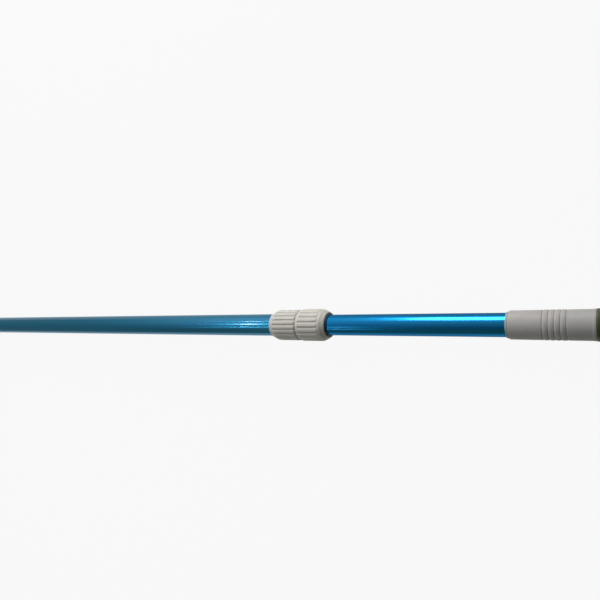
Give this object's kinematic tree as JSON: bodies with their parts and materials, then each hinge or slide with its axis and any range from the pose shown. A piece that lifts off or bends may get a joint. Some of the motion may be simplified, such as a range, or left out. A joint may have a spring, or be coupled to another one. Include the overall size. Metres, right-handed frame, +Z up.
{
  "type": "telescopic paddle pole",
  "caption": "Two-section telescopic pole with an external twist lock, ribbed grip and end cap; the open tube end takes a paddle or tool stem.",
  "frame": {"origin": "centre of the outer tube's open end, where the paddle's stem goes in", "axes": "+X along the pole from the socket end to the grip, +Z up with the pole lying on its side"},
  "size_m": [1.4417, 0.0446, 0.0448],
  "materials": {
    "blue_anodised": "blue anodised, half gloss",
    "lock_grey": "warm light grey moulded plastic, satin",
    "collet_white": "natural nylon",
    "wiper_black": "soft black rubber",
    "plug_black": "black moulded plastic",
    "grip_grey": "satin grey vinyl",
    "cap_olive": "dark olive rubber, satin"
  },
  "bodies": {
    "pole_base": {"outer_tube": "blue_anodised", "lock_body": "lock_grey"},
    "collet_carriage": {"collet": "collet_white", "slip_washer": "collet_white"},
    "twist_nut": {"lock_nut": "lock_grey", "wiper_ring": "wiper_black"},
    "glide": {"glide_ring": "collet_white"},
    "inner_pole": {"inner_tube": "blue_anodised", "tail_plug": "plug_black", "grip_sleeve": "grip_grey", "end_cap": "cap_olive"}
  },
  "joints": [
    {"name": "collet_travel", "type": "slide", "parent": "pole_base", "child": "collet_carriage", "axis": [1, 0, 0], "range_m": [0, 0.0023]},
    {"name": "nut_turn", "type": "hinge", "parent": "collet_carriage", "child": "twist_nut", "pos_m": [1.0829, 0, 0], "axis": [1, 0, 0], "range_deg": [0, 270]},
    {"name": "pole_slide", "type": "slide", "parent": "pole_base", "child": "glide", "axis": [1, 0, 0], "range_m": [-0.227, 0.624]},
    {"name": "pole_turn", "type": "hinge", "parent": "glide", "child": "inner_pole", "pos_m": [1.156, 0, 0], "axis": [1, 0, 0], "continuous": true}
  ],
  "couplings": [
    {"joint": "collet_travel", "follows": "nut_turn", "m_per_rad": 0.00047746}
  ]
}
